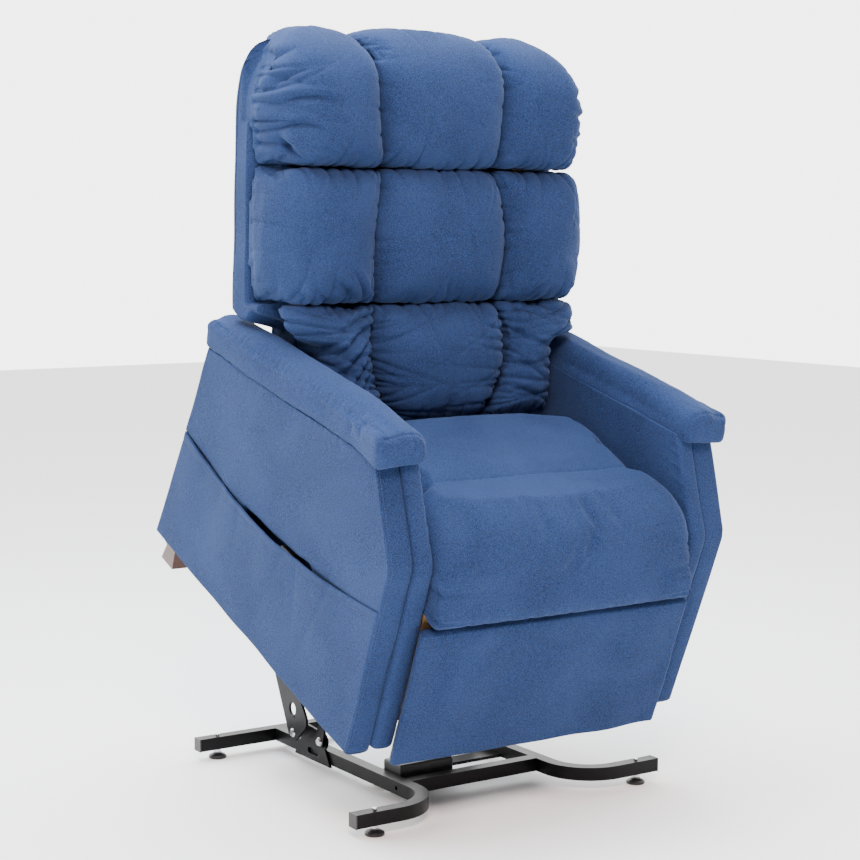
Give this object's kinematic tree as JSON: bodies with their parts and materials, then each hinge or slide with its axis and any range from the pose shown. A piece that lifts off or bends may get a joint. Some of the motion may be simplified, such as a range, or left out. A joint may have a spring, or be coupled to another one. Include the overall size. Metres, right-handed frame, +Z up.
{
  "type": "lift recliner chair",
  "caption": "Power lift recliner with a tufted back, raised and tilted forward on its tubular base; reclining back, fold-out leg rest, side pocket and hand control.",
  "frame": {"origin": "on the floor, at the middle of the whole chair's outline in its raised position", "axes": "+Z up, the sitter faces -Y, +X to the sitter's left"},
  "size_m": [0.75, 0.9556, 1.4394],
  "materials": {
    "upholstery": "heathered chenille microfibre",
    "lining": "plain lining cloth",
    "hardwood": "sawn hardwood",
    "stained_wood": "dark stain",
    "frame_steel": "gloss black powder coat",
    "mechanism_steel": "satin black paint",
    "zinc_steel": "bright zinc plate",
    "spring_wire": "oiled drawn wire",
    "webbing": "woven elastic webbing",
    "black_plastic": "moulded, fine grain",
    "key_plastic": "moulded keys",
    "motor_housing": "moulded housing"
  },
  "bodies": {
    "base": {"base_rail_left": "frame_steel", "base_rail_right": "frame_steel", "base_front_tube": "frame_steel", "base_rear_tube": "frame_steel", "tube_end_caps": "black_plastic", "foot_pads": "black_plastic", "foot_studs": "zinc_steel", "lift_bracket_left": "frame_steel", "lift_bracket_right": "frame_steel", "motor_bar": "frame_steel", "power_supply": "black_plastic", "base_pivot_bolts": "zinc_steel"},
    "rear_links": {"rear_lift_links": "frame_steel", "lift_torque_tube": "frame_steel"},
    "front_links": {"front_lift_links": "frame_steel"},
    "chair": {"lift_rail_left": "frame_steel", "lift_rail_right": "frame_steel", "chair_pivot_bolts": "zinc_steel", "chair_cross_tubes": "frame_steel", "seat_cross_tube": "frame_steel", "mechanism_left": "mechanism_steel", "mechanism_right": "mechanism_steel", "seat_frame": "hardwood", "seat_springs": "spring_wire", "seat_cushion": "upholstery", "arm_frame_left": "hardwood", "arm_frame_right": "hardwood", "side_panel_left": "upholstery", "side_panel_right": "upholstery", "arm_inner_left": "upholstery", "arm_inner_right": "upholstery", "arm_pad_left": "upholstery", "arm_pad_right": "upholstery", "pocket_panel": "upholstery", "pocket_liner": "lining", "rest_blocks": "stained_wood", "handset": "black_plastic", "back_hinge_bolts": "zinc_steel"},
    "lift_button": {"lift_button": "key_plastic"},
    "lower_button": {"lower_button": "key_plastic"},
    "recline_button": {"recline_button": "key_plastic"},
    "upright_button": {"upright_button": "key_plastic"},
    "lift_motor": {"lift_motor": "motor_housing"},
    "lift_rod": {"lift_rod": "zinc_steel"},
    "recline_motor": {"recline_motor": "motor_housing"},
    "recline_rod": {"recline_rod": "zinc_steel"},
    "back": {"back_frame": "hardwood", "back_bands": "webbing", "back_hinges": "mechanism_steel", "back_panel": "upholstery", "back_cushion_top": "upholstery", "back_cushion_middle": "upholstery", "back_cushion_lower": "upholstery"},
    "leg_drive": {"leg_drive_links": "mechanism_steel", "leg_drive_tube": "mechanism_steel"},
    "leg_control": {"leg_control_links": "mechanism_steel"},
    "leg_outer": {"leg_outer_links": "mechanism_steel"},
    "leg_steering": {"leg_steering_bars": "mechanism_steel"},
    "leg_rest": {"leg_rest_board": "mechanism_steel", "leg_rest_pad": "upholstery"}
  },
  "joints": [
    {"name": "lift", "type": "hinge", "parent": "base", "child": "rear_links", "pos_m": [0, 0.2074, 0.068], "axis": [1, 0, 0], "range_deg": [-61.15, 0]},
    {"name": "chair_tilt", "type": "hinge", "parent": "rear_links", "child": "chair", "pos_m": [0, 0.39951, 0.46233], "axis": [1, 0, 0], "range_deg": [0, 39.47]},
    {"name": "front_link_swing", "type": "hinge", "parent": "base", "child": "front_links", "pos_m": [0, 0.1334, 0.063], "axis": [1, 0, 0], "range_deg": [-65, 0]},
    {"name": "lift_motor_swing", "type": "hinge", "parent": "base", "child": "lift_motor", "pos_m": [0, -0.0056, 0.09], "axis": [1, 0, 0], "range_deg": [-64.8, 0]},
    {"name": "lift_rod_slide", "type": "slide", "parent": "lift_motor", "child": "lift_rod", "axis": [0, -0.1907, 0.9816], "range_m": [-0.1, 0]},
    {"name": "back_recline", "type": "hinge", "parent": "chair", "child": "back", "pos_m": [0, 0.13244, 0.64665], "axis": [-1, 0, 0], "range_deg": [0, 38]},
    {"name": "recline_motor_swing", "type": "hinge", "parent": "chair", "child": "recline_motor", "pos_m": [0, -0.05834, 0.39852], "axis": [-1, 0, 0], "range_deg": [-1.01, 0]},
    {"name": "recline_rod_slide", "type": "slide", "parent": "recline_motor", "child": "recline_rod", "axis": [0, 0.7473, 0.6644], "range_m": [-0.039, 0]},
    {"name": "leg_rest_raise", "type": "hinge", "parent": "chair", "child": "leg_drive", "pos_m": [0, -0.18794, 0.41045], "axis": [-1, 0, 0], "range_deg": [0, 91.14]},
    {"name": "leg_control_swing", "type": "hinge", "parent": "chair", "child": "leg_control", "pos_m": [0, -0.24774, 0.40387], "axis": [-1, 0, 0], "range_deg": [0, 91.16]},
    {"name": "leg_outer_swing", "type": "hinge", "parent": "leg_drive", "child": "leg_outer", "pos_m": [0, -0.02215, 0.29158], "axis": [-1, 0, 0], "range_deg": [-91.16, 0]},
    {"name": "leg_steering_swing", "type": "hinge", "parent": "leg_control", "child": "leg_steering", "pos_m": [0, -0.07695, 0.24204], "axis": [-1, 0, 0], "range_deg": [-91.1, 0]},
    {"name": "leg_board_turn", "type": "hinge", "parent": "leg_outer", "child": "leg_rest", "pos_m": [0, -0.34031, 0.36709], "axis": [-1, 0, 0], "range_deg": [0, 82.02]},
    {"name": "lift_button_press", "type": "slide", "parent": "chair", "child": "lift_button", "axis": [1, 0, 0], "range_m": [0, 0.0012], "stiffness_N_per_m": 600},
    {"name": "lower_button_press", "type": "slide", "parent": "chair", "child": "lower_button", "axis": [1, 0, 0], "range_m": [0, 0.0012], "stiffness_N_per_m": 600},
    {"name": "recline_button_press", "type": "slide", "parent": "chair", "child": "recline_button", "axis": [1, 0, 0], "range_m": [0, 0.0012], "stiffness_N_per_m": 600},
    {"name": "upright_button_press", "type": "slide", "parent": "chair", "child": "upright_button", "axis": [1, 0, 0], "range_m": [0, 0.0012], "stiffness_N_per_m": 600}
  ],
  "couplings": [
    {"joint": "chair_tilt", "follows": "lift", "ratio": -0.64514},
    {"joint": "front_link_swing", "follows": "lift", "ratio": 1.0627},
    {"joint": "lift_motor_swing", "follows": "lift", "ratio": 1.0593},
    {"joint": "lift_rod_slide", "follows": "lift", "m_per_rad": 0.09348},
    {"joint": "recline_motor_swing", "follows": "back_recline", "ratio": -0.025306},
    {"joint": "recline_rod_slide", "follows": "back_recline", "m_per_rad": -0.058415},
    {"joint": "leg_control_swing", "follows": "leg_rest_raise", "ratio": 1},
    {"joint": "leg_outer_swing", "follows": "leg_rest_raise", "ratio": -1},
    {"joint": "leg_steering_swing", "follows": "leg_rest_raise", "ratio": -0.99931},
    {"joint": "leg_board_turn", "follows": "leg_rest_raise", "ratio": 0.89972}
  ]
}
